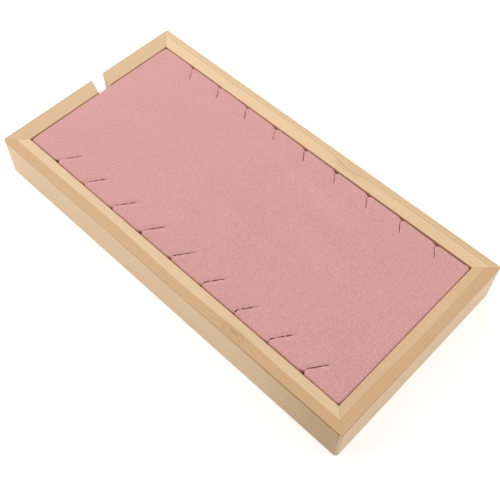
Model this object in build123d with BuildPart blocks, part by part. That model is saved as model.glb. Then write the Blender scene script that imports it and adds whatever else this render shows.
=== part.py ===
from build123d import *
from math import cos, radians, sin
import os

# Necklace display tray: a mitred wooden frame with a thin floor, and a padded insert that lies
# inside it and lifts out. Nine slits run in from each long edge of the insert. The ends of a
# chain go down through a pair of slits, and its spare length lies in the space underneath.
# The origin is the centre of the underside. X runs across the tray, Y along it towards the end
# rail with the finger notch, and Z up. All sizes are in millimetres.

# Frame
tray_length = 350.0
tray_width = 176.0
tray_height = 37.0
rail_thickness = 15.0
arris_radius = 0.5
corner_radius = 3.0

# Finger notch through one end rail
notch_width = 11.2
notch_depth = 19.0
notch_offset = 6.0
notch_skew = 18.0
notch_floor_radius = 1.5

# Floor panel, in a rabbet round the underside of the frame
panel_thickness = 3.0
panel_setback = 0.6
panel_clearance = 0.4
rabbet_width = 6.0

# Brads that hold the floor panel, of flat wire with a wider head, as a nail gun drives them
brad_length = 12.0
brad_wire_width = 1.3
brad_wire_thickness = 1.0
brad_head_width = 2.4
brad_head_thickness = 0.7
brad_edge_distance = 3.0
brads_per_long_side = 4
brads_per_end = 2
brad_end_distance = 32.0

# Bent steel wedges across the mitres
wedge_thickness = 0.4
wedge_height = 15.0
wedge_leg = 6.0
wedge_inset = 4.0
wedge_hook = 0.9
wedge_setback = 0.5

# Ledgers that carry the insert
ledger_thickness = 6.0

# Padded insert, from the top down: cover, foam, board, hem of the cover, lining
insert_recess = 0.6
insert_clearance = 0.6
cover_thickness = 0.8
foam_thickness = 6.0
board_thickness = 2.5
lining_thickness = 0.5
lining_margin = 2.5
edge_roll_radius = 1.2
pad_corner_radius = 2.5
hem_past_slits = 2.5
hem_mitre_gap = 0.6

# Slits
slits_per_side = 9
slit_end_distance = 31.8
slit_width = 0.8
slit_lead = 3.0
slit_bend_radius = 4.0
slit_turn = 35.0
left_slit_reach = 17.5
right_slit_reach = 12.0
right_row_shift = -2.6
nick_width = 2.4
nick_depth = 1.8

# Places worked out from the sizes
half_length = tray_length / 2
half_width = tray_width / 2
well_length = tray_length - 2 * rail_thickness
well_width = tray_width - 2 * rail_thickness
rabbet_depth = panel_thickness + panel_setback
end_rail_middle = half_length - rail_thickness / 2

pad_length = well_length - 2 * insert_clearance
pad_width = well_width - 2 * insert_clearance
pad_top = tray_height - insert_recess
foam_top = pad_top - cover_thickness
foam_bottom = foam_top - foam_thickness
board_bottom = foam_bottom - board_thickness
hem_bottom = board_bottom - cover_thickness
lining_bottom = hem_bottom - lining_thickness
core_length = pad_length - 2 * cover_thickness
core_width = pad_width - 2 * cover_thickness
core_corner_radius = pad_corner_radius - cover_thickness

slit_pitch = (pad_length - 2 * slit_end_distance) / (slits_per_side - 1)
hem_width = max(left_slit_reach, right_slit_reach) + hem_past_slits


def rail_section():
    """Section of a rail with its outer face at x = 0, its inner face at rail_thickness and its
    foot at y = 0: four eased arrises, and the rabbet for the floor panel at the inner foot."""
    with BuildSketch() as section:
        with Locations((rail_thickness / 2, tray_height / 2)):
            Rectangle(rail_thickness, tray_height)
        with Locations((rail_thickness, 0)):
            Rectangle(2 * rabbet_width, 2 * rabbet_depth, mode=Mode.SUBTRACT)
        corners = section.vertices()
        rabbet_root = corners.sort_by_distance((rail_thickness - rabbet_width, rabbet_depth))[0]
        fillet(corners - ShapeList([rabbet_root]), radius=arris_radius)
    return section.sketch


def wedge_outline():
    """Plan of one bent steel wedge near the corner at the origin, whose rails run along +X
    and +Y. Each leg lies in one rail, and the hooked tips draw the mitre tight."""
    tip = wedge_inset + wedge_leg
    hook = wedge_inset + wedge_hook
    with BuildSketch() as outline:
        with BuildLine():
            FilletPolyline(
                (tip, hook),
                (tip - wedge_hook, wedge_inset),
                (wedge_inset, wedge_inset),
                (wedge_inset, tip - wedge_hook),
                (hook, tip),
                radius=wedge_thickness,
            )
        trace(line_width=wedge_thickness)
    return outline.sketch


def all_wedge_outlines():
    """The wedge outline at each corner of the frame."""
    with BuildSketch() as outlines:
        with Locations((-half_width, -half_length)):
            add(wedge_outline())
        mirror(about=Plane.YZ)
        mirror(about=Plane.XZ)
    return outlines.sketch


def brad_places():
    """Places of the brads, along the middle of the strip of panel that the rabbet covers, each
    turned so that its wire lies flat along the rail."""
    side_x = half_width - rail_thickness + brad_edge_distance
    end_y = half_length - rail_thickness + brad_edge_distance
    side_step = (tray_length - 2 * brad_end_distance) / (brads_per_long_side - 1)
    end_step = (tray_width - 2 * brad_end_distance) / (brads_per_end - 1)
    places = []
    for sign in (-1, 1):
        for number in range(brads_per_long_side):
            along = brad_end_distance - half_length + number * side_step
            places.append(Location((sign * side_x, along, 0), (0, 0, 90)))
        for number in range(brads_per_end):
            along = brad_end_distance - half_width + number * end_step
            places.append(Location((along, sign * end_y, 0)))
    return places


def frame_outline():
    """Outline of the whole frame in plan, with its upright corners a little rounded."""
    with BuildSketch() as outline:
        RectangleRounded(tray_width, tray_length, corner_radius)
    return outline.sketch


def brad_outlines(width):
    """Every brad's wire or head in plan, of the width given."""
    with BuildSketch() as outlines:
        with Locations(*brad_places()):
            Rectangle(width, brad_wire_thickness)
    return outlines.sketch


def finish_rail(outward):
    """On the rail in hand, cut both mitres, round the frame's upright corners, and cut the slots
    for the wedges and the holes for the brads. outward points from the tray's middle to it."""
    along = Vector(outward.Y, outward.X)
    for end in (-1, 1):
        corner = Vector(
            (outward.X + end * along.X) * half_width,
            (outward.Y + end * along.Y) * half_length,
        )
        split(bisect_by=Plane(origin=corner, z_dir=outward - along * end), keep=Keep.TOP)
    extrude(whole_frame, amount=tray_height, mode=Mode.INTERSECT)
    extrude(wedges, amount=wedge_setback + wedge_height, mode=Mode.SUBTRACT)
    extrude(shanks, amount=panel_setback + brad_length, mode=Mode.SUBTRACT)


def notch_profile():
    """Upright profile of the finger notch, across the line on which it runs through the rail.
    The cheeks lean a little off square to the rail in plan, and the floor's corners are round."""
    lean = radians(notch_skew)
    across = Plane(
        origin=(notch_offset, end_rail_middle, tray_height),
        x_dir=(-cos(lean), sin(lean), 0),
        z_dir=(sin(lean), cos(lean), 0),
    )
    with BuildSketch(across) as profile:
        RectangleRounded(notch_width, 2 * notch_depth, notch_floor_radius)
    return profile.sketch


def slab(width, length, corner, bottom, top):
    """Flat slab with corners rounded in plan."""
    with BuildPart() as flat:
        with BuildSketch(Plane.XY.offset(bottom)):
            RectangleRounded(width, length, corner)
        extrude(amount=top - bottom)
    return flat.part


def rolled_slab(width, length, corner, bottom, top, roll):
    """Slab with corners rounded in plan and a rounded top edge, as fabric pulled over foam has."""
    with BuildPart() as padded:
        add(slab(width, length, corner, bottom, top))
        fillet(padded.edges().group_by(Axis.Z)[-1], radius=roll)
    return padded.part


def slit_outline(reach):
    """One slit in from the edge at x = 0 towards +X: a short lead square to the edge, a bend
    towards -Y and a straight tip, with a small open nick where it leaves the edge."""
    turn = radians(slit_turn)
    tip_length = (reach - slit_lead - slit_bend_radius * sin(turn)) / cos(turn)
    with BuildSketch() as outline:
        with BuildLine():
            lead = Line((-nick_depth, 0), (slit_lead, 0))
            bend = JernArc(lead @ 1, lead % 1, slit_bend_radius, -slit_turn)
            Line(bend @ 1, bend @ 1 + (bend % 1) * tip_length)
        trace(line_width=slit_width)
        with BuildLine():
            Polyline((0, -nick_width / 2), (nick_depth, 0), (0, nick_width / 2), close=True)
        make_face()
    return outline.sketch


def all_slit_outlines():
    """Both rows of slits in plan, level with the underside of the insert. Each pair points
    towards the plain end, as a chevron."""
    left_slit = slit_outline(left_slit_reach)
    right_slit = mirror(slit_outline(right_slit_reach), about=Plane.YZ)
    with BuildSketch(Plane.XY.offset(lining_bottom)) as outlines:
        for number in range(slits_per_side):
            row = slit_end_distance - pad_length / 2 + number * slit_pitch
            with Locations((-pad_width / 2, row)):
                add(left_slit)
            with Locations((pad_width / 2, row + right_row_shift)):
                add(right_slit)
    return outlines.sketch


os.makedirs("parts", exist_ok=True)
section = rail_section()
mirrored_section = mirror(section, about=Plane.YZ)
whole_frame = frame_outline()
wedges = all_wedge_outlines()
shanks = brad_outlines(brad_wire_width)
heads = brad_outlines(brad_head_width)
notch = notch_profile()
slits = all_slit_outlines()
insert_height = pad_top - lining_bottom

# Frame: long rails
with BuildPart() as left_rail:
    with BuildSketch(Plane.XZ.offset(-half_length)):
        with Locations((-half_width, 0)):
            add(section)
    extrude(amount=tray_length)
    finish_rail(Vector(-1, 0))
left_rail.part.label = "left_rail"
export_step(left_rail.part, "parts/left_rail.step")

with BuildPart() as right_rail:
    with BuildSketch(Plane.XZ.offset(-half_length)):
        with Locations((half_width, 0)):
            add(mirrored_section)
    extrude(amount=tray_length)
    finish_rail(Vector(1, 0))
right_rail.part.label = "right_rail"
export_step(right_rail.part, "parts/right_rail.step")

# Frame: end rails, one with the finger notch
with BuildPart() as plain_end_rail:
    with BuildSketch(Plane.YZ.offset(-half_width)):
        with Locations((-half_length, 0)):
            add(section)
    extrude(amount=tray_width)
    finish_rail(Vector(0, -1))
plain_end_rail.part.label = "plain_end_rail"
export_step(plain_end_rail.part, "parts/plain_end_rail.step")

with BuildPart() as notched_end_rail:
    with BuildSketch(Plane.YZ.offset(-half_width)):
        with Locations((half_length, 0)):
            add(mirrored_section)
    extrude(amount=tray_width)
    finish_rail(Vector(0, 1))
    extrude(notch, amount=rail_thickness, both=True, mode=Mode.SUBTRACT)
notched_end_rail.part.label = "notched_end_rail"
export_step(notched_end_rail.part, "parts/notched_end_rail.step")

# Steel wedges in the slots across the mitres
with BuildPart() as corner_wedges:
    with BuildSketch(Plane.XY.offset(wedge_setback)):
        add(wedges)
    extrude(amount=wedge_height)
corner_wedges.part.label = "corner_wedges"
export_step(corner_wedges.part, "parts/corner_wedges.step")

# Brads, each with a flat head let in flush with the underside of the panel
with BuildPart() as base_brads:
    with BuildSketch(Plane.XY.offset(panel_setback)):
        add(shanks)
    extrude(amount=brad_length)
    with BuildSketch(Plane.XY.offset(panel_setback)):
        add(heads)
    extrude(amount=brad_head_thickness)
base_brads.part.label = "base_brads"
export_step(base_brads.part, "parts/base_brads.step")

# Floor panel, with holes and seats for the brads
panel_length = well_length + 2 * (rabbet_width - panel_clearance)
panel_width = well_width + 2 * (rabbet_width - panel_clearance)
with BuildPart() as base_panel:
    with BuildSketch(Plane.XY.offset(panel_setback)):
        Rectangle(panel_width, panel_length)
    extrude(amount=panel_thickness)
    add(base_brads.part, mode=Mode.SUBTRACT)
base_panel.part.label = "base_panel"
export_step(base_panel.part, "parts/base_panel.step")

# Ledgers: battens that stand on the floor panel against the rails, up to the insert's underside.
# The finger notch runs on through the one behind the notched rail.
ledger_height = lining_bottom - rabbet_depth
for name, side in (("left_ledger", -1), ("right_ledger", 1)):
    with BuildPart() as side_ledger:
        with BuildSketch(Plane.XY.offset(rabbet_depth)):
            with Locations((side * (well_width - ledger_thickness) / 2, 0)):
                Rectangle(ledger_thickness, well_length)
        extrude(amount=ledger_height)
    side_ledger.part.label = name
    export_step(side_ledger.part, f"parts/{name}.step")

for name, end in (("plain_end_ledger", -1), ("notched_end_ledger", 1)):
    with BuildPart() as end_ledger:
        with BuildSketch(Plane.XY.offset(rabbet_depth)):
            with Locations((0, end * (well_length - ledger_thickness) / 2)):
                Rectangle(well_width - 2 * ledger_thickness, ledger_thickness)
        extrude(amount=ledger_height)
        extrude(notch, amount=rail_thickness + ledger_thickness, both=True, mode=Mode.SUBTRACT)
    end_ledger.part.label = name
    export_step(end_ledger.part, f"parts/{name}.step")

# Insert: stiff board
board_blank = slab(core_width, core_length, core_corner_radius, board_bottom, foam_bottom)
with BuildPart() as backing_board:
    add(board_blank)
    extrude(slits, amount=insert_height, mode=Mode.SUBTRACT)
backing_board.part.label = "backing_board"
export_step(backing_board.part, "parts/backing_board.step")

# Insert: foam, with its top edge rounded under the cover
core_roll_radius = edge_roll_radius - cover_thickness
foam_blank = rolled_slab(
    core_width, core_length, core_corner_radius, foam_bottom, foam_top, core_roll_radius
)
with BuildPart() as foam_pad:
    add(foam_blank)
    extrude(slits, amount=insert_height, mode=Mode.SUBTRACT)
foam_pad.part.label = "foam_pad"
export_step(foam_pad.part, "parts/foam_pad.step")

# Insert: cover, pulled over the foam and the board and turned under as a hem with mitred corners
wrap = rolled_slab(
    pad_width, pad_length, pad_corner_radius, hem_bottom, pad_top, edge_roll_radius
)
hem_corner_x = pad_width / 2 - hem_width
hem_corner_y = pad_length / 2 - hem_width
mitre_run = hem_width - pad_corner_radius
with BuildPart() as fabric_cover:
    add(wrap)
    add(board_blank, mode=Mode.SUBTRACT)
    add(foam_blank, mode=Mode.SUBTRACT)
    with BuildSketch(Plane.XY.offset(hem_bottom)):
        Rectangle(2 * hem_corner_x, 2 * hem_corner_y)
        for side in (-1, 1):
            for end in (-1, 1):
                with BuildLine():
                    Line(
                        (side * (hem_corner_x - hem_mitre_gap), end * (hem_corner_y - hem_mitre_gap)),
                        (side * (hem_corner_x + mitre_run), end * (hem_corner_y + mitre_run)),
                    )
                trace(line_width=hem_mitre_gap)
    extrude(amount=cover_thickness, mode=Mode.SUBTRACT)
    extrude(slits, amount=insert_height, mode=Mode.SUBTRACT)
fabric_cover.part.label = "fabric_cover"
export_step(fabric_cover.part, "parts/fabric_cover.step")

# Insert: lining, glued over the hem
lining_blank = slab(
    pad_width - 2 * lining_margin,
    pad_length - 2 * lining_margin,
    pad_corner_radius,
    lining_bottom,
    hem_bottom,
)
with BuildPart() as underside_lining:
    add(lining_blank)
    extrude(slits, amount=insert_height, mode=Mode.SUBTRACT)
underside_lining.part.label = "underside_lining"
export_step(underside_lining.part, "parts/underside_lining.step")
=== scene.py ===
import math
from collections import namedtuple

import bmesh
import bpy
from mathutils import Matrix, Vector, noise


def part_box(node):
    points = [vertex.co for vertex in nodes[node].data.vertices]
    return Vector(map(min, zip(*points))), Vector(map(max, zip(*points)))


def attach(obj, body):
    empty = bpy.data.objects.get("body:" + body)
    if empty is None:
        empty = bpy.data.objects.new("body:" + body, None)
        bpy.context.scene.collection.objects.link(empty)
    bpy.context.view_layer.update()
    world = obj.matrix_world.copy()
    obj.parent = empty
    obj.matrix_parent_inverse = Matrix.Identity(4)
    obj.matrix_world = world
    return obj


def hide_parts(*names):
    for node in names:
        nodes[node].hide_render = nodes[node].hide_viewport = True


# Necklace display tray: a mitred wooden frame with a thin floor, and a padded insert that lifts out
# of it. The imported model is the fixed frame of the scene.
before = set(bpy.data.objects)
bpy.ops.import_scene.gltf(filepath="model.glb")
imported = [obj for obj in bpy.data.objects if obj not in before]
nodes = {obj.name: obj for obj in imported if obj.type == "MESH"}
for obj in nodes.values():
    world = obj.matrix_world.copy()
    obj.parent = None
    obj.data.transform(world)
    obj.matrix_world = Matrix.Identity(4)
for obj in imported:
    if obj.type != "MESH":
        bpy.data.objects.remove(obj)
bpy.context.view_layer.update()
mm = 0.001

# Camera, where the photograph was taken from. Its place, its lens and the point that it looks at
# were found from the tray's corners and edges in the photograph.
view_azimuth = math.radians(-46.97)
view_elevation = math.radians(56.87)
view_roll = math.radians(1.09)
view_distance = 631.6 * mm
view_target = Vector((-9.3 * mm, -19.9 * mm, 0))

camera_data = bpy.data.cameras.new("camera")
camera_data.sensor_width = 36
camera_data.lens = 58.72
camera = bpy.data.objects.new("camera", camera_data)
bpy.context.scene.collection.objects.link(camera)
bpy.context.scene.camera = camera
towards_camera = Vector((
    math.sin(view_azimuth) * math.cos(view_elevation),
    -math.cos(view_azimuth) * math.cos(view_elevation),
    math.sin(view_elevation),
))
camera.location = view_target + towards_camera * view_distance
upright = towards_camera.to_track_quat("Z", "Y")
camera.rotation_euler = (upright.to_matrix() @ Matrix.Rotation(view_roll, 3, "Z")).to_euler()

# Studio: a round white floor and a white surround, seen as white with a little of the tray's soft
# shadow left. Large lamps stand low on all sides but the front left, and one hangs behind.
bpy.context.scene.view_settings.view_transform = "Standard"
floor_radius = 1.5
floor_colour = (0.9, 0.9, 0.9, 1)
floor_lift = 0.46
surround_strength = 0.39
lamp_size = 1.1
lamps = {
    "front right lamp": (Vector((0.96, -0.96, 0.63)), 8.0),
    "back left lamp": (Vector((-0.96, 0.96, 0.63)), 7.6),
    "back right lamp": (Vector((0.96, 0.96, 0.63)), 7.2),
    "high lamp": (Vector((0, 0.75, 1.30)), 5.3),
}


def add_node(tree, kind, inputs=None, **settings):
    """Add a node with these settings. Each input is set to a value or joined to a socket."""
    made = tree.nodes.new(kind)
    for name, value in settings.items():
        setattr(made, name, value)
    for name, value in (inputs or {}).items():
        if isinstance(value, bpy.types.NodeSocket):
            tree.links.new(value, made.inputs[name])
        else:
            made.inputs[name].default_value = value
    return made


def calculate(tree, operation, *values, clamp=False):
    """Output of a Math node, on values or sockets."""
    inputs = dict(enumerate(values))
    return add_node(tree, "ShaderNodeMath", inputs, operation=operation, use_clamp=clamp).outputs[0]


def seen_directly(tree):
    """1 where the camera sees a surface directly, in a mirror or through glass, and 0 elsewhere."""
    path = add_node(tree, "ShaderNodeLightPath")
    seen = path.outputs["Is Camera Ray"]
    for name in ("Is Glossy Ray", "Is Transmission Ray"):
        seen = calculate(tree, "MAXIMUM", seen, path.outputs[name])
    return seen


floor_mesh = bmesh.new()
bmesh.ops.create_circle(floor_mesh, cap_ends=True, segments=64, radius=floor_radius)
floor_data = bpy.data.meshes.new("floor")
floor_mesh.to_mesh(floor_data)
floor = bpy.data.objects.new("floor", floor_data)
bpy.context.scene.collection.objects.link(floor)

floor_material = bpy.data.materials.new("white floor")
floor_material.use_nodes = True
tree = floor_material.node_tree
tree.nodes.clear()
paper = add_node(tree, "ShaderNodeBsdfDiffuse", {"Color": floor_colour})
glow = add_node(tree, "ShaderNodeEmission", {
    "Color": (1, 1, 1, 1),
    "Strength": calculate(tree, "MULTIPLY", seen_directly(tree), floor_lift),
})
both = add_node(tree, "ShaderNodeAddShader", {0: paper.outputs[0], 1: glow.outputs[0]})
add_node(tree, "ShaderNodeOutputMaterial", {"Surface": both.outputs[0]})
floor_data.materials.append(floor_material)

surround = bpy.data.worlds.new("white surround")
bpy.context.scene.world = surround
surround.use_nodes = True
tree = surround.node_tree
tree.nodes.clear()
lift = calculate(tree, "MULTIPLY", seen_directly(tree), 1 - surround_strength)
sky = add_node(tree, "ShaderNodeBackground", {
    "Color": (1, 1, 1, 1),
    "Strength": calculate(tree, "ADD", lift, surround_strength),
})
add_node(tree, "ShaderNodeOutputWorld", {"Surface": sky.outputs[0]})

for name, (lamp_place, lamp_power) in lamps.items():
    lamp_data = bpy.data.lights.new(name, "AREA")
    lamp_data.size = lamp_size
    lamp_data.energy = lamp_power
    lamp = bpy.data.objects.new(name, lamp_data)
    bpy.context.scene.collection.objects.link(lamp)
    lamp.location = lamp_place
    lamp.rotation_euler = lamp_place.to_track_quat("Z", "Y").to_euler()

# Rails: four lengths of pale pine, planed and lacquered, mitred at the corners and drawn tight
# by steel wedges. Each lies with a paler edge towards the pad and a browner one outside. The
# pieces are the CAD rails with the sharp edges of their mitres eased, which shows the joints.
mitre_ease = 0.16 * mm
rail_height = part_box("left_rail")[1].z
outer_half_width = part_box("right_rail")[1].x
outer_half_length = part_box("notched_end_rail")[1].y
rail_thickness = outer_half_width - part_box("right_rail")[0].x
wedge_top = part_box("corner_wedges")[1].z
grain_relief = 0.03 * mm
pine_line = (0.520, 0.285, 0.120, 1)
pine_ring_width = 1.7 * mm

# A knot, where a rail has one
knot_half_width = 3.2 * mm
knot_half_length = 14 * mm

# The glue's dark hairline in a mitre, which fades out on the way to the outer corner
glue_strength = 0.42
glue_half_width = 0.55 * mm
glue_core_half_width = 0.15 * mm
glue_fades_from = 5 * mm
glue_fades_to = 10 * mm

# At one end of a rail: a dark brown line along its outer top edge, and painted shade on the outer
# face below it, darkest towards the corner
edge_line_and_shade_colour = (0.400, 0.236, 0.094, 1)
edge_line_width = 1.3 * mm
outer_face_skin = 0.4 * mm
edge_line_run = (30 * mm, 165 * mm)
painted_shade_run = (75 * mm, 178 * mm)
painted_shade_strength = 0.70


def new_group(name, inputs, outputs):
    """Node group with sockets of these kinds and names. Returns the group, the sockets that
    give its inputs and those that take its results."""
    group = bpy.data.node_groups.new(name, "ShaderNodeTree")
    for way, sockets in (("INPUT", inputs), ("OUTPUT", outputs)):
        for kind, labels in sockets.items():
            for label in labels:
                group.interface.new_socket(label, in_out=way, socket_type="NodeSocket" + kind)
    given = add_node(group, "NodeGroupInput").outputs
    return group, given, add_node(group, "NodeGroupOutput").inputs


def step_up(tree, value, low, high):
    """0 below low, 1 above high and a smooth rise between them, or a fall if low is above high."""
    inputs = {"Value": value, "From Min": low, "From Max": high}
    made = add_node(tree, "ShaderNodeMapRange", inputs, interpolation_type="SMOOTHSTEP")
    return made.outputs[0]


def cloudy(tree, vector, scale, detail=2.0, roughness=0.5):
    """Noise from 0 to 1, with the size of its features set by a scale for each direction."""
    scaled = add_node(tree, "ShaderNodeVectorMath", {0: vector, 1: scale}, operation="MULTIPLY")
    inputs = {"Vector": scaled.outputs[0], "Scale": 1.0, "Detail": detail, "Roughness": roughness}
    return add_node(tree, "ShaderNodeTexNoise", inputs).outputs[0]


def blended(tree, factor, first, second, mode="MIX"):
    """First and second colour mixed."""
    inputs = {0: factor, 6: first, 7: second}
    made = add_node(tree, "ShaderNodeMix", inputs, data_type="RGBA", blend_type=mode)
    return made.outputs[2]


def tinted(tree, colour, tint):
    """The colour made darker below a tint of 1 and lighter above it."""
    inputs = {0: tint, 1: tint, 2: tint}
    tint_colour = add_node(tree, "ShaderNodeCombineColor", inputs).outputs[0]
    return blended(tree, 1.0, colour, tint_colour, "MULTIPLY")


def sum_of_squares(tree, first, second):
    """Sum of the squares of two values."""
    squares = [calculate(tree, "POWER", value, 2.0) for value in (first, second)]
    return calculate(tree, "ADD", *squares)


def make_grain_group():
    """Solid wood. Grain is the place in a piece's own directions: across it, along it and up.
    Growth rings lie round a pith below the piece. One zone of them may be browner, and so may
    the wood on its inner side. Where there is a figure, the rings swell round a knot."""
    group, given, result = new_group(
        "wood grain",
        {
            "Vector": ("Grain",),
            "Color": ("Pale", "Warm", "Line"),
            "Float": (
                "Inner Strength", "Zone Strength", "Zone Start", "Zone End", "Top",
                "Pith Across", "Pith Up", "Ring Width", "Ring Strength",
                "Figure Across", "Figure Along", "Figure Size", "Streaks",
            ),
        },
        {"Color": ("Color",), "Float": ("Height", "Roughness")},
    )
    place = given["Grain"]
    parts = add_node(group, "ShaderNodeSeparateXYZ", {0: place}).outputs
    wander = calculate(group, "SUBTRACT", cloudy(group, place, (6, 9, 6), 1.0), 0.5)
    wobble = calculate(group, "SUBTRACT", cloudy(group, place, (60, 45, 60), 2.0), 0.5)
    across = calculate(group, "MULTIPLY_ADD", wander, 6 * mm, parts[0])
    across = calculate(group, "MULTIPLY_ADD", wobble, 1.2 * mm, across)

    # The browner zone, which leans outwards on the way down
    depth = calculate(group, "SUBTRACT", given["Top"], parts[2])
    leaning = calculate(group, "ADD", depth, across)
    start, end = given["Zone Start"], given["Zone End"]
    inside = step_up(group, leaning, start, calculate(group, "ADD", start, 0.5 * mm))
    beyond = step_up(group, leaning, end, calculate(group, "ADD", end, 2 * mm))
    zone = calculate(group, "SUBTRACT", inside, beyond, clamp=True)
    zone_tone = calculate(group, "MULTIPLY", zone, given["Zone Strength"])
    inner = calculate(group, "SUBTRACT", 1.0, inside)
    zone_tone = calculate(group, "MULTIPLY_ADD", inner, given["Inner Strength"], zone_tone)
    colour_now = blended(group, zone_tone, given["Pale"], given["Warm"])

    # The growth rings and the knot
    side = calculate(group, "SUBTRACT", across, given["Pith Across"])
    rise = calculate(group, "SUBTRACT", parts[2], given["Pith Up"])
    radius = calculate(group, "SQRT", sum_of_squares(group, side, rise))
    off_across = calculate(group, "SUBTRACT", parts[0], given["Figure Across"])
    off_along = calculate(group, "SUBTRACT", parts[1], given["Figure Along"])
    off_across = calculate(group, "DIVIDE", off_across, knot_half_width)
    off_along = calculate(group, "DIVIDE", off_along, knot_half_length)
    distance = calculate(group, "MULTIPLY", sum_of_squares(group, off_across, off_along), -1.0)
    figure = calculate(group, "EXPONENT", distance)
    radius = calculate(group, "MULTIPLY_ADD", figure, given["Figure Size"], radius)
    rings_out = calculate(group, "DIVIDE", radius, given["Ring Width"])
    ring = calculate(group, "FRACT", rings_out)
    darkening = step_up(group, ring, 0.25, 0.9)
    late = calculate(group, "MULTIPLY", darkening, step_up(group, ring, 1.0, 0.93))
    patchy = step_up(group, cloudy(group, place, (25, 8, 25), 1.0), 0.3, 0.7)
    patchy = calculate(group, "MULTIPLY_ADD", patchy, 0.7, 0.3)
    zoned = calculate(group, "MULTIPLY_ADD", zone, 0.6, 0.4)
    ring_tone = given["Ring Strength"]
    for share in (late, patchy, zoned):
        ring_tone = calculate(group, "MULTIPLY", ring_tone, share)
    figure_tone = calculate(group, "MULTIPLY_ADD", late, 0.62, 0.16)
    figure_tone = calculate(group, "MULTIPLY", figure, figure_tone)
    shown = calculate(group, "GREATER_THAN", given["Figure Size"], 0.0)
    ring_tone = calculate(group, "MULTIPLY_ADD", figure_tone, shown, ring_tone, clamp=True)
    colour_now = blended(group, ring_tone, colour_now, given["Line"])

    # The fine streaks along the fibres
    streak = cloudy(group, place, (700, 16, 700), 3.0, 0.6)
    fibre = cloudy(group, place, (3200, 70, 3200), 2.0, 0.6)
    fine = calculate(group, "MULTIPLY", streak, 0.65)
    fine = calculate(group, "MULTIPLY_ADD", fibre, 0.35, fine)
    shade = calculate(group, "MULTIPLY", step_up(group, fine, 0.62, 0.36), given["Streaks"])
    colour_now = blended(group, shade, colour_now, given["Line"])
    cloud = cloudy(group, place, (30, 6, 30), 2.0)
    colour_now = tinted(group, colour_now, calculate(group, "MULTIPLY_ADD", cloud, 0.10, 0.95))

    height = calculate(group, "MULTIPLY_ADD", late, -0.5, calculate(group, "MULTIPLY", fine, 0.8))
    rough = calculate(group, "MULTIPLY_ADD", fine, 0.2, 0.42)
    results = {"Color": colour_now, "Height": height, "Roughness": rough}
    for label, value in results.items():
        group.links.new(value, result[label])
    return group


wood_grain = make_grain_group()


def add_group(tree, group, place, **settings):
    """Outputs of a node group at a place, which is its first input. Each setting is named as
    the input that it sets, in small letters."""
    made = add_node(tree, "ShaderNodeGroup", {0: place}, node_tree=group)
    for name, value in settings.items():
        made.inputs[name.replace("_", " ").title()].default_value = value
    return made.outputs


def place_in_piece(tree, turn, origin):
    """Place in the piece's own directions: across it from the inside out, along it, and up."""
    where = add_node(tree, "ShaderNodeTexCoord").outputs["Object"]
    inputs = {"Vector": where, "Location": origin, "Rotation": (0, 0, math.radians(turn))}
    return add_node(tree, "ShaderNodeMapping", inputs).outputs[0]


def start_material(name, looks):
    """Material with a Principled BSDF that has these looks. Returns both."""
    material = bpy.data.materials.new(name)
    material.use_nodes = True
    shader = material.node_tree.nodes["Principled BSDF"]
    for label, value in looks.items():
        shader.inputs[label].default_value = value
    return material, shader


def finish_surface(tree, shader, colour, roughness, height, distance):
    """Join a colour, a roughness and a relief of that distance to the shader."""
    tree.links.new(colour, shader.inputs["Base Color"])
    tree.links.new(roughness, shader.inputs["Roughness"])
    bump = add_node(tree, "ShaderNodeBump", {"Height": height, "Distance": distance})
    tree.links.new(bump.outputs[0], shader.inputs["Normal"])


def edge_line_and_painted_shade(tree, parts):
    """Where one end of a rail is painted darker: painted shade in the outer face, and from further
    along a dark brown line on the outer edge of its top."""
    across, along, up = parts
    skin = rail_thickness - outer_face_skin
    leaning = calculate(tree, "ADD", across, calculate(tree, "SUBTRACT", up, rail_height))
    line = step_up(tree, leaning, rail_thickness - edge_line_width, skin)
    line = calculate(tree, "MULTIPLY", line, step_up(tree, along, *edge_line_run))
    face = step_up(tree, across, skin, rail_thickness - outer_face_skin / 4)
    face = calculate(tree, "MULTIPLY", face, step_up(tree, along, *painted_shade_run))
    face = calculate(tree, "MULTIPLY", face, painted_shade_strength)
    return calculate(tree, "MAXIMUM", line, face)


def rail_material(name, turn, inner_distance, half_length, has_edge_line_and_shade, **grain):
    """Lacquered pine for one rail, with a dark hairline of glue in the inner part of a mitre."""
    material, shader = start_material(name, {"Coat Weight": 0.12, "Coat Roughness": 0.35})
    tree = material.node_tree
    place = place_in_piece(tree, turn, (-inner_distance, 0, 0))
    wood = add_group(tree, wood_grain, place, **grain)
    parts = add_node(tree, "ShaderNodeSeparateXYZ", {0: place}).outputs
    mitre = calculate(tree, "ADD", parts[0], half_length)
    mitre = calculate(tree, "SUBTRACT", mitre, calculate(tree, "ABSOLUTE", parts[1]))
    glue = step_up(tree, mitre, glue_half_width, glue_core_half_width)
    faded = step_up(tree, parts[0], glue_fades_to, glue_fades_from)
    glue = calculate(tree, "MULTIPLY", calculate(tree, "MULTIPLY", glue, faded), glue_strength)
    colour = blended(tree, glue, wood["Color"], pine_line)
    # Painted shade on the left rail's outer face towards its near corner, with a dark line on its
    # outer top edge
    if has_edge_line_and_shade:
        colour = blended(tree, edge_line_and_painted_shade(tree, parts), colour, edge_line_and_shade_colour)
    finish_surface(tree, shader, colour, wood["Roughness"], wood["Height"], grain_relief)
    return material


def shaded_by_angle(data, degrees):
    """Smooth shading, with edges sharper than the angle left sharp."""
    data.shade_smooth()
    data.set_sharp_from_angle(angle=math.radians(degrees))


def add_piece(name, mesh, material, body, slot, *stands_for):
    """Turn a bmesh into a finished piece that rides on a body and stands for CAD nodes."""
    data = bpy.data.meshes.new(name)
    mesh.to_mesh(data)
    mesh.free()
    data.materials.append(material)
    piece = bpy.data.objects.new(name, data)
    bpy.context.scene.collection.objects.link(piece)
    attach(piece, body)
    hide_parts(*stands_for)
    return piece


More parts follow.
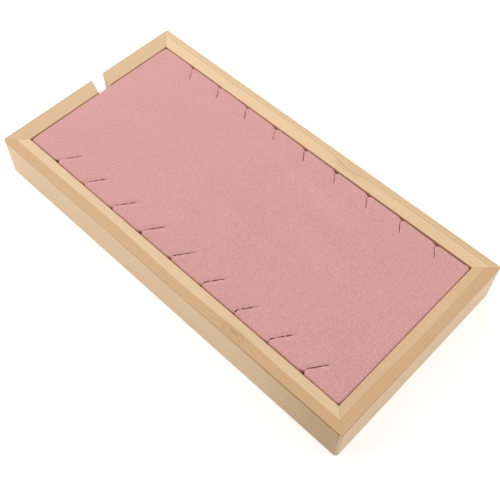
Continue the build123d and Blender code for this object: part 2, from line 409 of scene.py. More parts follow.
def merged_copy(node_name):
    """The CAD node as a mesh of whole faces, with its loose triangles joined."""
    mesh = bmesh.new()
    mesh.from_mesh(nodes[node_name].data)
    bmesh.ops.remove_doubles(mesh, verts=mesh.verts, dist=0.001 * mm)
    bmesh.ops.dissolve_limit(
        mesh, angle_limit=math.radians(0.2), verts=mesh.verts, edges=mesh.edges, delimit=set()
    )
    return mesh


def ease_mitres(mesh):
    """Take the sharp edge off both mitres of a rail, but not off the wedge slots in them."""
    edges = []
    for face in mesh.faces:
        is_diagonal = abs(abs(face.normal.x) - abs(face.normal.y)) < 0.01
        is_upright = abs(face.normal.z) < 0.01
        is_large = face.calc_area() > rail_thickness * rail_height / 2
        if not (is_diagonal and is_upright and is_large):
            continue
        for edge in face.edges:
            middle = (edge.verts[0].co + edge.verts[1].co) / 2
            in_slot = middle.z < wedge_top + mitre_ease
            at_side = abs(middle.x) > outer_half_width - mitre_ease * 6
            if at_side or not in_slot:
                edges.append(edge)
    bmesh.ops.bevel(
        mesh, geom=edges, offset=mitre_ease, offset_type="OFFSET", segments=1, profile=0.5,
        affect="EDGES", clamp_overlap=True, material=-1,
    )
    bmesh.ops.remove_doubles(mesh, verts=mesh.verts, dist=0.005 * mm)


# Each rail's turn in degrees, how far its inner edge is from the tray's middle, half the length
# of that edge, and its wood, whose zones are measured from that edge too
inner_half_width = outer_half_width - rail_thickness
inner_half_length = outer_half_length - rail_thickness
rails = {
    "left_rail": (180, inner_half_width, inner_half_length, {
        "pale": (0.830, 0.594, 0.355, 1), "warm": (0.690, 0.430, 0.215, 1),
        "zone_strength": 1.0, "zone_start": 7.2 * mm, "zone_end": 15.6 * mm, "ring_strength": 0.26,
        "figure_across": 8.8 * mm, "figure_along": 74 * mm, "figure_size": 5.4 * mm,
        "pith_across": -34 * mm, "pith_up": -12 * mm,
    }),
    "right_rail": (0, inner_half_width, inner_half_length, {
        "pale": (0.858, 0.598, 0.352, 1), "warm": (0.765, 0.530, 0.300, 1),
        "zone_strength": 0.9, "zone_start": 9.0 * mm, "zone_end": 15.6 * mm, "ring_strength": 0.22,
        "figure_across": 7.0 * mm, "figure_along": -38 * mm, "figure_size": 1.6 * mm,
        "pith_across": -28 * mm, "pith_up": -25 * mm,
    }),
    "plain_end_rail": (90, inner_half_length, inner_half_width, {
        "pale": (0.815, 0.576, 0.346, 1), "warm": (0.700, 0.430, 0.218, 1),
        "inner_strength": 0.42, "zone_strength": 1.0, "ring_strength": 0.16,
        "zone_start": 6.8 * mm, "zone_end": 15.6 * mm,
        "pith_across": -40 * mm, "pith_up": -20 * mm,
    }),
    "notched_end_rail": (-90, inner_half_length, inner_half_width, {
        "pale": (0.780, 0.555, 0.340, 1), "warm": (0.690, 0.455, 0.248, 1),
        "zone_strength": 0.8, "zone_start": -5.0 * mm, "zone_end": 15.8 * mm, "ring_strength": 0.16,
        "pith_across": -36 * mm, "pith_up": -30 * mm,
    }),
}
for node_name, (turn, inner_distance, half_length, grain) in rails.items():
    rail_mesh = merged_copy(node_name)
    ease_mitres(rail_mesh)
    material = rail_material(
        "pine " + node_name.replace("_", " "), turn, inner_distance, half_length,
        has_edge_line_and_shade=(node_name == "left_rail"), line=pine_line, top=rail_height,
        ring_width=pine_ring_width, streaks=0.12, **grain,
    )
    rail = add_piece("eased_" + node_name, rail_mesh, material, "frame", "rail_wood", node_name)
    shaded_by_angle(rail.data, 32)

# Cover: one sheet of pink microfibre suede, pulled over the foam and the board, glued under as a
# hem with mitred corners, and cut with the foam by a bent blade, nine times from each long edge.
cover_thickness = 0.8 * mm
cover_corner = 2.5 * mm
cover_roll = 1.2 * mm
cover_fold = 1.0 * mm
hem_width = 20.0 * mm
cover_low, cover_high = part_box("fabric_cover")
half_pad_width, half_pad_length = cover_high.x, cover_high.y

# The slits, with the sizes that they have in CAD. A side is -1 on the left and 1 on the right.
slits_per_side = 9
slit_end_distance = 31.8 * mm
slit_lead = 3.0 * mm
slit_bend = 4.0 * mm
slit_turn = math.radians(35)
slit_reach = {-1: 17.5 * mm, 1: 12.0 * mm}
right_row_shift = -2.6 * mm
slit_pitch = 2 * (half_pad_length - slit_end_distance) / (slits_per_side - 1)
slit_rows = [
    slit_end_distance - half_pad_length + number * slit_pitch for number in range(slits_per_side)
]

# The slits' leads on top at each side's plain end and notched end, and their lips, which are
# rolled over, drop into the slit and thin out
top_leads = {-1: (3.4 * mm, 1.8 * mm), 1: (3.0 * mm, 0.4 * mm)}
lip_zone = 0.9 * mm
lip_roll = 0.30 * mm
lip_drop = 2.4 * mm
lip_ease = 2.6 * mm
lip_curved_share = 0.6
lip_thickness_share = 0.35
closed_spot_size = 1.4 * mm
mouth_ease = 1.4 * mm
tip_ease = 2.5 * mm
tip_lip_ease = 1.2 * mm
closed_half_gap = 0.01 * mm
open_half_gap = {-1: 0.43 * mm, 1: 0.25 * mm}
edge_half_gap = 0.28 * mm
foam_half_gap = 0.80 * mm

# The nicks at the slits' mouths, and how far down and in the pad's edge gives way
nick_far_half = 4.4 * mm
nick_near_half = 2.2 * mm
nick_ease = 5.0 * mm
nick_height = 3.4 * mm
nick_shade_depth = 1.1 * mm
soft_depth = 6.6 * mm
edge_ease = 9.0 * mm

# The waves of the pad's edges and of its soft top, and the top's valleys at the slits
long_edge_wave = 16 * mm
short_edge_wave = 14 * mm
shoulder_width = 7.0 * mm
shoulder_drop = 0.12 * mm
valley_half_width = 2.6 * mm
valley_depth = 0.26 * mm
swelling_distance = 4.2 * mm
swelling_half_width = 2.2 * mm
swelling_height = 0.12 * mm

# How far apart the mesh's lines lie, how far a row follows a slit past its tip and where it goes
# over from one side's slits to the other's, and the rows beside a slit
column_step = 0.68 * mm
widest_column = 3.6 * mm
widest_row = 2.2 * mm
hem_step = 2.8 * mm
row_run_on = 4.0 * mm
rows_cross_over = 90 * mm
lip_marks = [0.2 * mm, 0.4 * mm, 0.6 * mm, lip_zone]

# No two slits are alike. These are the depth of each slit's nick in the pad's edge, and how far
# in the nap has closed over its mouth, in millimetres on each side, from the plain end on.
nick_depths = {
    -1: (2.3, 0.9, 0.6, 0.9, 1.6, 2.1, 1.4, 0.9, 2.3),
    1: (1.5, 1.3, 1.5, 2.1, 1.7, 1.6, 1.3, 1.1, 1.4),
}
closed_mouths = {
    -1: (4.0, 0.8, 1.2, 1.0, 4.0, 4.6, 4.8, 4.6, 7.5),
    1: (2.2, 2.4, 2.4, 2.8, 2.8, 3.6, 3.4, 3.8, 3.4),
}

# The mesh is a flat grid that is wrapped as the real sheet is. Its rows run along the slits, so
# that they can be cut there and their lips turned down. A line is one column or row of it, and
# lines with a ring above 0 go round the pad, out over its edge and back under as the hem. A
# ring's tilt is how far the surface has turned there from facing up. Low and high are the
# corners of the sheet's box.
Line = namedtuple("Line", "place side ring")
Ring = namedtuple("Ring", "inset height tilt")
Sheet = namedtuple("Sheet", "low high corner rings columns rows")


def smooth(value):
    """0 up to 0, 1 from 1 on, and a smooth rise between them."""
    value = min(max(value, 0.0), 1.0)
    return value * value * (3 - 2 * value)


def even_steps(start, end, count):
    """Values after start, up to end, in equal steps."""
    return [start + (end - start) * (number + 1) / count for number in range(count)]


def growing_steps(start, end, first, largest):
    """Values after start, up to end, in steps that grow by a fifth from first to largest."""
    sizes = [first]
    while sum(sizes) < abs(end - start):
        sizes.append(min(sizes[-1] * 1.2, largest))
    places = []
    for number in range(len(sizes)):
        places.append(start + (end - start) * sum(sizes[:number + 1]) / sum(sizes))
    return places


def slit_turned(inset, reach, lead):
    """How far towards the plain end a slit has turned at this distance in from the edge."""
    inset = min(inset, reach + row_run_on)
    bend_end = lead + slit_bend * math.sin(slit_turn)
    if inset <= lead:
        return 0.0
    if inset <= bend_end:
        return slit_bend - math.sqrt(slit_bend ** 2 - (inset - lead) ** 2)
    return slit_bend * (1 - math.cos(slit_turn)) + (inset - bend_end) * math.tan(slit_turn)


def row_drift(x, y, is_hem):
    """How far along the pad a row lies from straight there, so that it follows the slits. On
    top the slits turn off sooner towards the notched end."""
    turned = {}
    for side, (near_lead, far_lead) in top_leads.items():
        along = 0.5 + y / (2 * half_pad_length)
        lead = slit_lead if is_hem else near_lead + (far_lead - near_lead) * along
        turned[side] = slit_turned(half_pad_width - side * x, slit_reach[side], lead)
    share = smooth(0.5 + x / rows_cross_over)
    past_slits = (abs(y) - slit_rows[-1]) / (half_pad_length - slit_rows[-1])
    drift = (right_row_shift - turned[1]) * share - turned[-1] * (1 - share)
    return drift * (1 - smooth(past_slits))


def inner_columns(half_width, corner, fine, coarse):
    """Places of the columns between the corners' centres, finest where the slits are."""
    start = corner - half_width
    slits_end = slit_reach[-1] - half_pad_width
    left = [start] + even_steps(start, slits_end, round((slits_end - start) / fine))
    left += growing_steps(slits_end, 0.0, fine, coarse)
    return left + [-place for place in reversed(left[:-1])]


def inner_rows(half_length, corner, marks, coarse):
    """Places of the rows between the corners' centres, finest at the marks beside each slit."""
    marks = marks + growing_steps(marks[-1], slit_pitch / 2, marks[-1] / 2, coarse)
    places = []
    for slit in slit_rows:
        places += [slit - mark for mark in reversed(marks)]
        places += [slit] + [slit + mark for mark in marks[:-1]]
    end = half_length - corner
    past = slit_rows[-1] + slit_pitch / 2
    last = even_steps(past, end, round((end - past) / coarse))
    return [-place for place in reversed(last)] + places + [past] + last


def with_rings(half, rings, inner):
    """The lines of a sheet from one edge to the other. Rings are numbered outwards from the
    corner's centre, and inner lines have ring 0."""
    outer = [(half - ring.inset, number + 1) for number, ring in enumerate(rings)]
    lines = [Line(-place, -1, number) for place, number in reversed(outer)]
    lines += [Line(place, 0, 0) for place in inner]
    return lines + [Line(place, 1, number) for place, number in outer]


def plan_sheet(low, high, corner, rings, columns, rows):
    """A sheet with these inner columns and rows, and its rings' lines on both sides of them."""
    columns, rows = with_rings(high.x, rings, columns), with_rings(high.y, rings, rows)
    return Sheet(low, high, corner, rings, columns, rows)


def on_pad(column, row, sheet):
    """Place of a grid point once the sheet is wrapped, and the surface's outward direction."""
    x, x_side, x_ring = column
    y, y_side, y_ring = row
    if max(x_ring, y_ring) == 0:
        return Vector((x, y, sheet.high.z)), Vector((0, 0, 1))
    ring = sheet.rings[max(x_ring, y_ring) - 1]
    reach_x, reach_y = sheet.high.x - ring.inset, sheet.high.y - ring.inset
    if x_ring and y_ring:
        rounding = max(sheet.corner - ring.inset, 0.0)
        angle = math.pi / 4 * (y_ring / x_ring if x_ring >= y_ring else 2 - x_ring / y_ring)
        x = x_side * (reach_x - rounding * (1 - math.cos(angle)))
        y = y_side * (reach_y - rounding * (1 - math.sin(angle)))
        sideways = Vector((x_side * math.cos(angle), y_side * math.sin(angle), 0))
    elif x_ring:
        x, y = x_side * reach_x, min(max(y, -reach_y), reach_y)
        sideways = Vector((x_side, 0, 0))
    else:
        x, y = min(max(x, -reach_x), reach_x), y_side * reach_y
        sideways = Vector((0, y_side, 0))
    outward = sideways * math.sin(ring.tilt) + Vector((0, 0, math.cos(ring.tilt)))
    return Vector((x, y, ring.height)), outward


def cut_sheet(sheet):
    """Flat grid whose points lie at their column's and row's numbers, cut along the slits. A
    point on a cut keeps the side of it that it lies on."""
    mesh = bmesh.new()
    wide, long = len(sheet.columns) - 1, len(sheet.rows) - 1
    bmesh.ops.create_grid(mesh, x_segments=wide, y_segments=long, size=0.5)
    for point in mesh.verts:
        point.co.x = round((point.co.x + 0.5) * wide)
        point.co.y = round((point.co.y + 0.5) * long)
    cut_rows, reached = set(), set()
    for number, row in enumerate(sheet.rows):
        if row.ring == 0 and row.place in slit_rows:
            cut_rows.add(number)
    for number, column in enumerate(sheet.columns):
        reach = slit_reach[1 if column.place > 0 else -1]
        if half_pad_width - abs(column.place) <= reach + 0.01 * mm:
            reached.add(number)
    cuts = []
    for edge in mesh.edges:
        first, second = edge.verts[0].co, edge.verts[1].co
        if first.y == second.y and first.y in cut_rows and {first.x, second.x} <= reached:
            cuts.append(edge)
    bmesh.ops.split_edges(mesh, edges=cuts)
    cut_side = mesh.verts.layers.int.new("cut side")
    for point in mesh.verts:
        heights = [face.calc_center_median().y for face in point.link_faces]
        lean = sum(heights) / len(heights) - point.co.y
        if point.co.y in cut_rows and abs(lean) > 0.1:
            point[cut_side] = 1 if lean > 0 else -1
    return mesh


def slit_opening(side, number, inset):
    """How far a slit's lips are turned down there and how far it shows open, both from 0 to 1.
    The nap closes over the first few millimetres of most slits, and here and there further in."""
    closed = closed_mouths[side][number] * mm
    to_tip = slit_reach[side] - inset
    spot = Vector((inset / closed_spot_size, number * 7.7, side * 3.1))
    shown = smooth(0.62 + 1.9 * noise.noise(spot))
    shown *= smooth((inset - closed) / mouth_ease + 0.5) * smooth(to_tip / tip_ease)
    return (0.05 + 0.95 * shown) * smooth(to_tip / tip_lip_ease), shown


def nick_pull(side, number, from_slit):
    """How far the pad's edge is drawn in beside a slit's mouth: a lopsided nick, because the
    blade pressed the lip nearer to the notched end down further."""
    half = nick_far_half if from_slit > 0 else nick_near_half
    return nick_depths[side][number] * mm * max(0.0, 1 - abs(from_slit) / half) ** 1.2


def edge_wave(side, along):
    """How far the pad's long edge is drawn in between the slits, where the cover was pulled
    unevenly. The right edge was pulled more, and most near the plain end."""
    uneven = 0.5 + 0.5 * noise.noise(Vector((along / long_edge_wave, side * 5.3, 0.4)))
    if side < 0:
        return (0.45 * uneven + 0.10) * mm
    return (0.40 * uneven - 0.30 + 0.50 * smooth(0.5 - along / (300 * mm))) * mm


def end_wave(end, across):
    """How far the pad's short edge stands out towards the rail, most at the notched end."""
    uneven = 0.5 + 0.5 * noise.noise(Vector((across / short_edge_wave, end * 2.9, 3.1)))
    return (0.12 * uneven + (0.36 if end > 0 else 0.14)) * mm


def top_relief(x, y, side, from_slit):
    """Height of the soft top over a flat one: low waves, rounded shoulders and, at each slit, a
    shallow valley with a faint swelling on both sides."""
    waves = 0.10 * noise.noise(Vector((x / (34 * mm), y / (40 * mm), 0)))
    waves += 0.05 * noise.noise(Vector((x / (11 * mm), y / (13 * mm), 8)))
    inset = half_pad_width - abs(x)
    shoulder = 1 - min(min(inset, half_pad_length - abs(y)) / shoulder_width, 1.0)
    reached = 1 - smooth((inset - slit_reach[side] + 3 * mm) / (6 * mm))
    swelling = math.exp(-((abs(from_slit) - swelling_distance) / swelling_half_width) ** 2)
    valley = math.exp(-(from_slit / valley_half_width) ** 2)
    at_slit = swelling_height * swelling - valley_depth * valley
    return (waves + 0.1) * mm - shoulder_drop * shoulder ** 2 + reached * at_slit


def lip_shape(from_slit, way, turned_down, half_gap):
    """Where a point beside a slit comes to lie once the lip is turned down: its distance from
    the slit's middle, and how far it has sunk."""
    rolled = max(1 - abs(from_slit) / lip_zone, 0.0) / lip_curved_share
    angle = min(rolled, 1.0) * math.pi / 2
    eased = max(abs(from_slit) - lip_zone, 0.0) / (lip_ease - lip_zone)
    distance = half_gap + lip_roll * (1 - math.sin(angle))
    distance += (lip_ease - half_gap - lip_roll) * eased
    spread = from_slit + (way * distance - from_slit) * turned_down
    straight = max(rolled - 1, 0.0) / (1 / lip_curved_share - 1)
    sunk = lip_roll * (1 - math.cos(angle)) + (lip_drop - lip_roll) * straight
    return way * max(abs(spread), half_gap), sunk * turned_down


def wrap_sheet(mesh, sheet, cut_half_gap, lipped):
    """Wrap a cut sheet round the pad, and give it its nicks, waves and soft top. A lipped sheet
    also has its slits' lips turned down. The second layer of a thick sheet lies flat at the
    bottom, on the board."""
    top = sheet.high.z
    cut_side = mesh.verts.layers.int["cut side"]
    shade = mesh.verts.layers.float.new("slit shade")
    weights = mesh.verts.layers.deform.verify()
    for point in mesh.verts:
        column, row = sheet.columns[round(point.co.x)], sheet.rows[round(point.co.y)]
        is_top = point.co.z == 0
        place, outward = on_pad(column, row, sheet)
        x, y = place.x, place.y
        side = 1 if x > 0 else -1
        inset = half_pad_width - abs(x)
        number = min(range(slits_per_side), key=lambda count: abs(row.place - slit_rows[count]))
        from_slit = spread = row.place - slit_rows[number]
        way = point[cut_side] or (1 if from_slit > 0 else -1)
        within = inset < slit_reach[side] and row.ring == 0
        # Turned down lips, or a plain cut in the foam and in the cover's side and hem
        shown = 0.6
        if within and lipped and outward.z > 0.01 and abs(from_slit) < lip_ease:
            turned_down, shown = slit_opening(side, number, inset)
            turned_down *= smooth(2 * outward.z)
            half_gap = closed_half_gap + (open_half_gap[side] - closed_half_gap) * shown
            spread, sunk = lip_shape(from_slit, way, turned_down, half_gap)
            place -= outward * sunk
        elif within and abs(from_slit) < lip_ease:
            half_gap = cut_half_gap * smooth((slit_reach[side] - inset) / (2 * mm))
            spread += way * half_gap * (1 - abs(from_slit) / lip_ease)
        place.y += row_drift(x, y, outward.z < -0.5) + spread - from_slit
        # The waves of the short edges, then those of the long ones and the nicks
        if is_top:
            end = 1 if y > 0 else -1
            end_inset = half_pad_length - abs(y)
            soft = smooth(1 + (place.z - top) / soft_depth)
            pushed = end_wave(end, x) * smooth(inset / edge_ease) * soft
            place.y += end * pushed * max(1 - end_inset / nick_ease, 0.0)
        if is_top and row.ring == 0:
            drawn = edge_wave(side, y) * smooth(end_inset / edge_ease) * soft
            nick = nick_pull(side, number, spread) * smooth(1 + (place.z - top) / nick_height)
            place.x -= side * (nick + drawn) * max(1 - inset / nick_ease, 0.0)
            # Painted shade: the nicks' walls and the slits' lips get a slit shade, which the suede
            # material darkens
            in_nick = min(nick / nick_shade_depth, 1.0) * (1 - smooth(outward.z * 1.3))
            in_slit = max(1 - abs(from_slit) / lip_zone, 0.0) ** 0.5
            in_slit *= 0.1 + 0.9 * shown
            point[shade] = max(in_nick, in_slit) if within else 0.0
        if is_top:
            place.z += max(outward.z, 0.0) * top_relief(x, y, side, spread)
        else:
            place.z = sheet.low.z
        # The cloth is thinner in the lips only
        point[weights][0] = smooth((abs(from_slit) - lip_zone) / mm) if within else 1.0
        point.co = place
    mesh.verts.layers.int.remove(cut_side)


def edge_rings(corner, roll, top, roll_steps):
    """Rings of a sheet from its corners' centres outwards, to the foot of its rolled edge."""
    rings = [Ring(inset, top, 0.0) for inset in even_steps(corner, roll, 2)]
    for angle in even_steps(0, math.pi / 2, roll_steps):
        inset, drop = roll * (1 - math.sin(angle)), roll * (1 - math.cos(angle))
        rings.append(Ring(inset, top - drop, angle))
    return rings


def cover_rings():
    """Rings of the cover: over the rolled edge, down the side and back under as the hem."""
    rings = edge_rings(cover_corner, cover_roll, cover_high.z, 5)
    for height in even_steps(cover_high.z - cover_roll, cover_low.z + cover_fold, 6):
        rings.append(Ring(0.0, height, math.pi / 2))
    for angle in even_steps(math.pi / 2, math.pi, 3):
        inset, rise = cover_fold * (1 - math.sin(angle)), cover_fold * (1 + math.cos(angle))
        rings.append(Ring(inset, cover_low.z + rise, angle))
    hem_start = cover_fold
    for hem_end in (slit_reach[1], slit_reach[-1], hem_width):
        steps = max(1, round((hem_end - hem_start) / hem_step))
        for inset in even_steps(hem_start, hem_end, steps):
            rings.append(Ring(inset, cover_low.z, math.pi))
        hem_start = hem_end
    return rings


def make_mottle_group():
    """Two colours mottled at two sizes, as a nap, a foam or a paper is. The sizes are those of
    the patches and of the grains in them, and Fine Share is how much the grains count."""
    group, given, result = new_group(
        "soft mottle",
        {
            "Vector": ("Place",),
            "Color": ("Dark", "Light"),
            "Float": ("Patch Size", "Grain Size", "Fine Share", "Contrast", "Cloudiness"),
        },
        {"Color": ("Color",), "Float": ("Height", "Grains")},
    )
    place = given["Place"]
    sized = {}
    for label in ("Patch Size", "Grain Size"):
        per_metre = calculate(group, "DIVIDE", 1.0, given[label])
        spread = add_node(group, "ShaderNodeCombineXYZ", {0: per_metre, 1: per_metre, 2: per_metre})
        sized[label] = cloudy(group, place, spread.outputs[0], 2.0, 0.6)
    coarse = calculate(group, "SUBTRACT", 1.0, given["Fine Share"])
    height = calculate(group, "MULTIPLY", sized["Patch Size"], coarse)
    fine = calculate(group, "MULTIPLY", sized["Grain Size"], given["Fine Share"])
    height = calculate(group, "ADD", height, fine)
    low = calculate(group, "SUBTRACT", 0.5, given["Contrast"])
    high = calculate(group, "ADD", 0.5, given["Contrast"])
    lightness = step_up(group, height, low, high)
    colour_now = blended(group, lightness, given["Dark"], given["Light"])
    clouds = calculate(group, "SUBTRACT", cloudy(group, place, (40, 26, 40), 2.0), 0.5)
    tint = calculate(group, "MULTIPLY_ADD", clouds, given["Cloudiness"], 1.0)
    colour_now = tinted(group, colour_now, tint)
    results = {"Color": colour_now, "Height": height, "Grains": sized["Grain Size"]}
    for label, value in results.items():
        group.links.new(value, result[label])
    return group


soft_mottle = make_mottle_group()
nap_dark = (0.645, 0.311, 0.302, 1)
nap_light = (0.840, 0.451, 0.438, 1)
nap_middle = [(dark + light) / 2 for dark, light in zip(nap_dark, nap_light)]
# The dark red of the painted shade in the slits and nicks
nap_painted_shade = (0.210, 0.058, 0.050, 1)
nap_relief = 0.22 * mm
brushed_share = 0.55


def suede_material():
    """Microfibre suede: a short dense nap, mottled where it lies different ways, and brushed
    smoother towards the notched end. Painted shade darkens it in the slits and in the nicks at
    their mouths, where the mesh has its slit shade."""
    material, shader = start_material("pink microfibre", {
        "Sheen Weight": 0.25,
        "Sheen Roughness": 0.45,
        "Sheen Tint": (1.0, 0.84, 0.82, 1),
        "Specular IOR Level": 0.15,
    })
    tree = material.node_tree
    place = add_node(tree, "ShaderNodeTexCoord").outputs["Object"]
    nap = add_group(
        tree, soft_mottle, place, dark=nap_dark, light=nap_light, patch_size=1.05 * mm,
        grain_size=0.42 * mm, fine_share=0.58, contrast=0.13, cloudiness=0.09,
    )
    along = add_node(tree, "ShaderNodeSeparateXYZ", {0: place}).outputs[1]
    brushed = step_up(tree, along, -0.3 * half_pad_length, half_pad_length)
    brushed = calculate(tree, "MULTIPLY", brushed, brushed_share)
    colour = blended(tree, brushed, nap["Color"], nap_middle)
    slit_painted_shade = add_node(tree, "ShaderNodeAttribute", attribute_name="slit shade").outputs["Fac"]
    colour = blended(tree, slit_painted_shade, colour, nap_painted_shade)
    rough = calculate(tree, "MULTIPLY_ADD", nap["Grains"], 0.15, 0.80)
    finish_surface(tree, shader, colour, rough, nap["Height"], nap_relief)
    return material


columns = inner_columns(cover_high.x, cover_corner, column_step, widest_column)
rows = inner_rows(cover_high.y, cover_corner, lip_marks, widest_row)
sheet = plan_sheet(cover_low, cover_high, cover_corner, cover_rings(), columns, rows)
cover_mesh = cut_sheet(sheet)
wrap_sheet(cover_mesh, sheet, edge_half_gap, lipped=True)
bmesh.ops.remove_doubles(cover_mesh, verts=cover_mesh.verts, dist=0.002 * mm)
suede = suede_material()
cover = add_piece("suede_cover", cover_mesh, suede, "insert", "microfibre", "fabric_cover")
cover.data.shade_smooth()
thick = cover.vertex_groups.new(name="full thickness")
shell = cover.modifiers.new("cloth thickness", "SOLIDIFY")
shell.thickness = cover_thickness
shell.offset = -1
shell.vertex_group = thick.name
shell.thickness_vertex_group = lip_thickness_share

# Foam: a 6 mm sheet of white upholstery foam under the cover, glued to the board. The blade cut
# it together with the cover, so it has the same slits. It is a flat grid cut along the slits,
# made two layers thick, and then shaped as the cover is.
foam_low, foam_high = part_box("foam_pad")
foam_corner = cover_corner - cover_thickness
foam_roll = cover_roll - cover_thickness
foam_column_step = 1.5 * mm
foam_widest_column = 6.0 * mm
foam_widest_row = 4.0 * mm
foam_cut_marks = [0.5 * mm, 1.2 * mm]


def mottled_material(name, relief, **mottle):
    """Matt stuff with a relief of this depth, mottled as the settings of the group say."""
    material, shader = start_material(name, {"Specular IOR Level": 0.2})
    tree = material.node_tree
    place = add_node(tree, "ShaderNodeTexCoord").outputs["Object"]
    stuff = add_group(tree, soft_mottle, place, **mottle)
    rough = calculate(tree, "MULTIPLY_ADD", stuff["Grains"], 0.15, 0.80)
    finish_surface(tree, shader, stuff["Color"], rough, stuff["Height"], relief)
    return material


columns = inner_columns(foam_high.x, foam_corner, foam_column_step, foam_widest_column)
rows = inner_rows(foam_high.y, foam_corner, foam_cut_marks, foam_widest_row)
rings = edge_rings(foam_corner, foam_roll, foam_high.z, 3)
sheet = plan_sheet(foam_low, foam_high, foam_corner, rings, columns, rows)
foam_mesh = cut_sheet(sheet)
made = bmesh.ops.extrude_face_region(foam_mesh, geom=foam_mesh.faces[:], use_keep_orig=True)
lower = [item for item in made["geom"] if isinstance(item, bmesh.types.BMVert)]
bmesh.ops.translate(foam_mesh, vec=(0, 0, -1), verts=lower)
wrap_sheet(foam_mesh, sheet, foam_half_gap, lipped=False)
bmesh.ops.recalc_face_normals(foam_mesh, faces=foam_mesh.faces)
foam_stuff = mottled_material(
    "white foam", relief=0.25 * mm, dark=(0.60, 0.58, 0.53, 1), light=(0.84, 0.82, 0.77, 1),
    patch_size=0.9 * mm, grain_size=0.35 * mm, fine_share=0.6, contrast=0.12, cloudiness=0.05,
)
foam = add_piece("foam_layer", foam_mesh, foam_stuff, "insert", "foam", "foam_pad")
shaded_by_angle(foam.data, 40)

# Board: 2.5 mm greyboard that keeps the insert flat, with foam glued on top and the cover's hem
# under it. The CAD board is right as it is, and is given its fibres.
board_stuff = mottled_material(
    "greyboard", relief=0.06 * mm, dark=(0.23, 0.185, 0.135, 1), light=(0.40, 0.335, 0.255, 1),
    patch_size=2.2 * mm, grain_size=0.3 * mm, fine_share=0.45, contrast=0.16, cloudiness=0.10,
)
nodes["backing_board"].material_slots[0].material = board_stuff

# Lining: stiff cream paper glued over the hem to finish the insert's underside, with the slits
# cut through it too. The CAD sheet is right as it is, and is given a laid paper's texture.
lining_paper = mottled_material(
    "cream paper", relief=0.05 * mm, dark=(0.60, 0.53, 0.44, 1), light=(0.74, 0.67, 0.575, 1),
    patch_size=5.0 * mm, grain_size=0.6 * mm, fine_share=0.4, contrast=0.2, cloudiness=0.06,
)
nodes["underside_lining"].material_slots[0].material = lining_paper

# Ledgers: four sawn pine battens glued inside the rails, on the floor, for the insert to rest
# on. They are left rough from the saw, so their faces have fine marks across the grain.
saw_mark_spacing = 1.4 * mm
saw_relief = 0.12 * mm

# Each batten's turn in degrees, and its pith's own depth below the tray
ledger_directions = {
    "left_ledger": (180, 21 * mm),
    "right_ledger": (0, 34 * mm),
    "plain_end_ledger": (90, 27 * mm),
    "notched_end_ledger": (-90, 40 * mm),
}


def ledger_material(name, turn, pith_depth):
    """Sawn pine for one batten."""
    material, shader = start_material(name, {"Specular IOR Level": 0.3})
    tree = material.node_tree
    place = place_in_piece(tree, turn, (0, 0, 0))
    wood = add_group(
        tree, wood_grain, place, pale=(0.745, 0.560, 0.355, 1), warm=(0.610, 0.420, 0.240, 1),
        line=(0.470, 0.270, 0.120, 1), pith_across=60 * mm, pith_up=-pith_depth,
        ring_width=pine_ring_width, ring_strength=0.5, streaks=0.4,
    )
    per_metre = 1 / saw_mark_spacing
    marks = cloudy(tree, place, (per_metre * 0.03, per_metre, per_metre * 0.03), 1.0)
    height = calculate(tree, "MULTIPLY_ADD", marks, 1.6, wood["Height"])
    rough = calculate(tree, "MULTIPLY_ADD", wood["Roughness"], 0.4, 0.55)
    finish_surface(tree, shader, wood["Color"], rough, height, saw_relief)
    return material


for node_name, (turn, pith_depth) in ledger_directions.items():
    material = ledger_material(node_name.replace("_", " "), turn, pith_depth)
    nodes[node_name].material_slots[0].material = material

# Floor: 3 mm birch plywood set up into a rabbet in the rails. Its faces are rotary cut, with a
# broad faint figure along the tray, and the middle ply of its edge runs the other way.
ply_low, ply_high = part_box("base_panel")
middle_ply_height = (ply_low.z + ply_high.z) / 2
middle_ply_half = (ply_high.z - ply_low.z) / 6
sanded_relief = 0.04 * mm


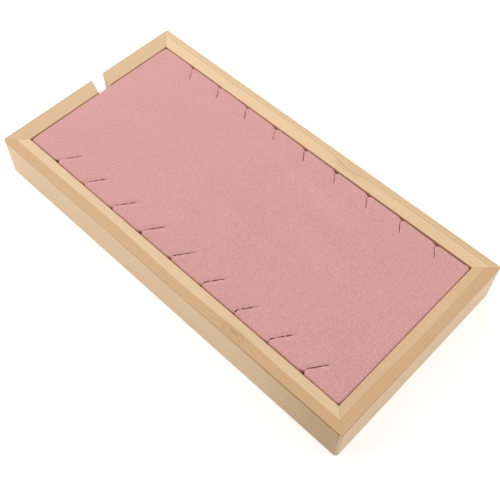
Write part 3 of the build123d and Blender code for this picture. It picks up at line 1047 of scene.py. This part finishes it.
def plywood_material():
    """Sanded birch plywood."""
    material, shader = start_material("birch plywood", {"Specular IOR Level": 0.35})
    tree = material.node_tree
    place = place_in_piece(tree, 0, (0, 0, 0))
    wood = add_group(
        tree, wood_grain, place, pale=(0.730, 0.560, 0.375, 1), warm=(0.610, 0.430, 0.260, 1),
        line=(0.500, 0.320, 0.165, 1), top=ply_high.z, zone_end=10 * mm,
        pith_across=-18 * mm, pith_up=-9 * mm, ring_width=7.5 * mm, ring_strength=0.45,
        streaks=0.35,
    )
    up = add_node(tree, "ShaderNodeSeparateXYZ", {0: place}).outputs[2]
    from_middle = calculate(tree, "SUBTRACT", up, middle_ply_height)
    from_middle = calculate(tree, "ABSOLUTE", from_middle)
    core = calculate(tree, "LESS_THAN", from_middle, middle_ply_half)
    end_grain = cloudy(tree, place, (2600, 2600, 900), 2.0, 0.6)
    core_colour = blended(tree, end_grain, (0.30, 0.19, 0.10, 1), (0.60, 0.42, 0.25, 1))
    colour = blended(tree, core, wood["Color"], core_colour)
    rough = calculate(tree, "MULTIPLY_ADD", wood["Roughness"], 0.5, 0.35)
    finish_surface(tree, shader, colour, rough, wood["Height"], sanded_relief)
    return material


nodes["base_panel"].material_slots[0].material = plywood_material()

# Fixings: steel brads through the floor's edge into the rails, and bent steel wedges that were
# pressed across each mitre from below. Both are bright zinc-plated steel, dulled a little.
steel_colours = {
    "base_brads": ((0.52, 0.52, 0.53, 1), (0.70, 0.70, 0.70, 1)),
    "corner_wedges": ((0.46, 0.46, 0.47, 1), (0.66, 0.66, 0.66, 1)),
}
draw_line_relief = 0.02 * mm


def steel_material(name, dark, light):
    """Plated steel with fine draw lines and dull patches."""
    material, shader = start_material(name, {"Metallic": 1.0})
    tree = material.node_tree
    place = add_node(tree, "ShaderNodeTexCoord").outputs["Object"]
    patches = cloudy(tree, place, (350, 350, 350), 3.0, 0.6)
    lines = cloudy(tree, place, (4200, 4200, 260), 2.0, 0.5)
    colour = blended(tree, step_up(tree, patches, 0.3, 0.7), dark, light)
    rough = calculate(tree, "MULTIPLY_ADD", patches, 0.25, 0.22)
    finish_surface(tree, shader, colour, rough, lines, draw_line_relief)
    return material


for node_name, (dark, light) in steel_colours.items():
    material = steel_material(node_name.replace("_", " "), dark, light)
    nodes[node_name].material_slots[0].material = material
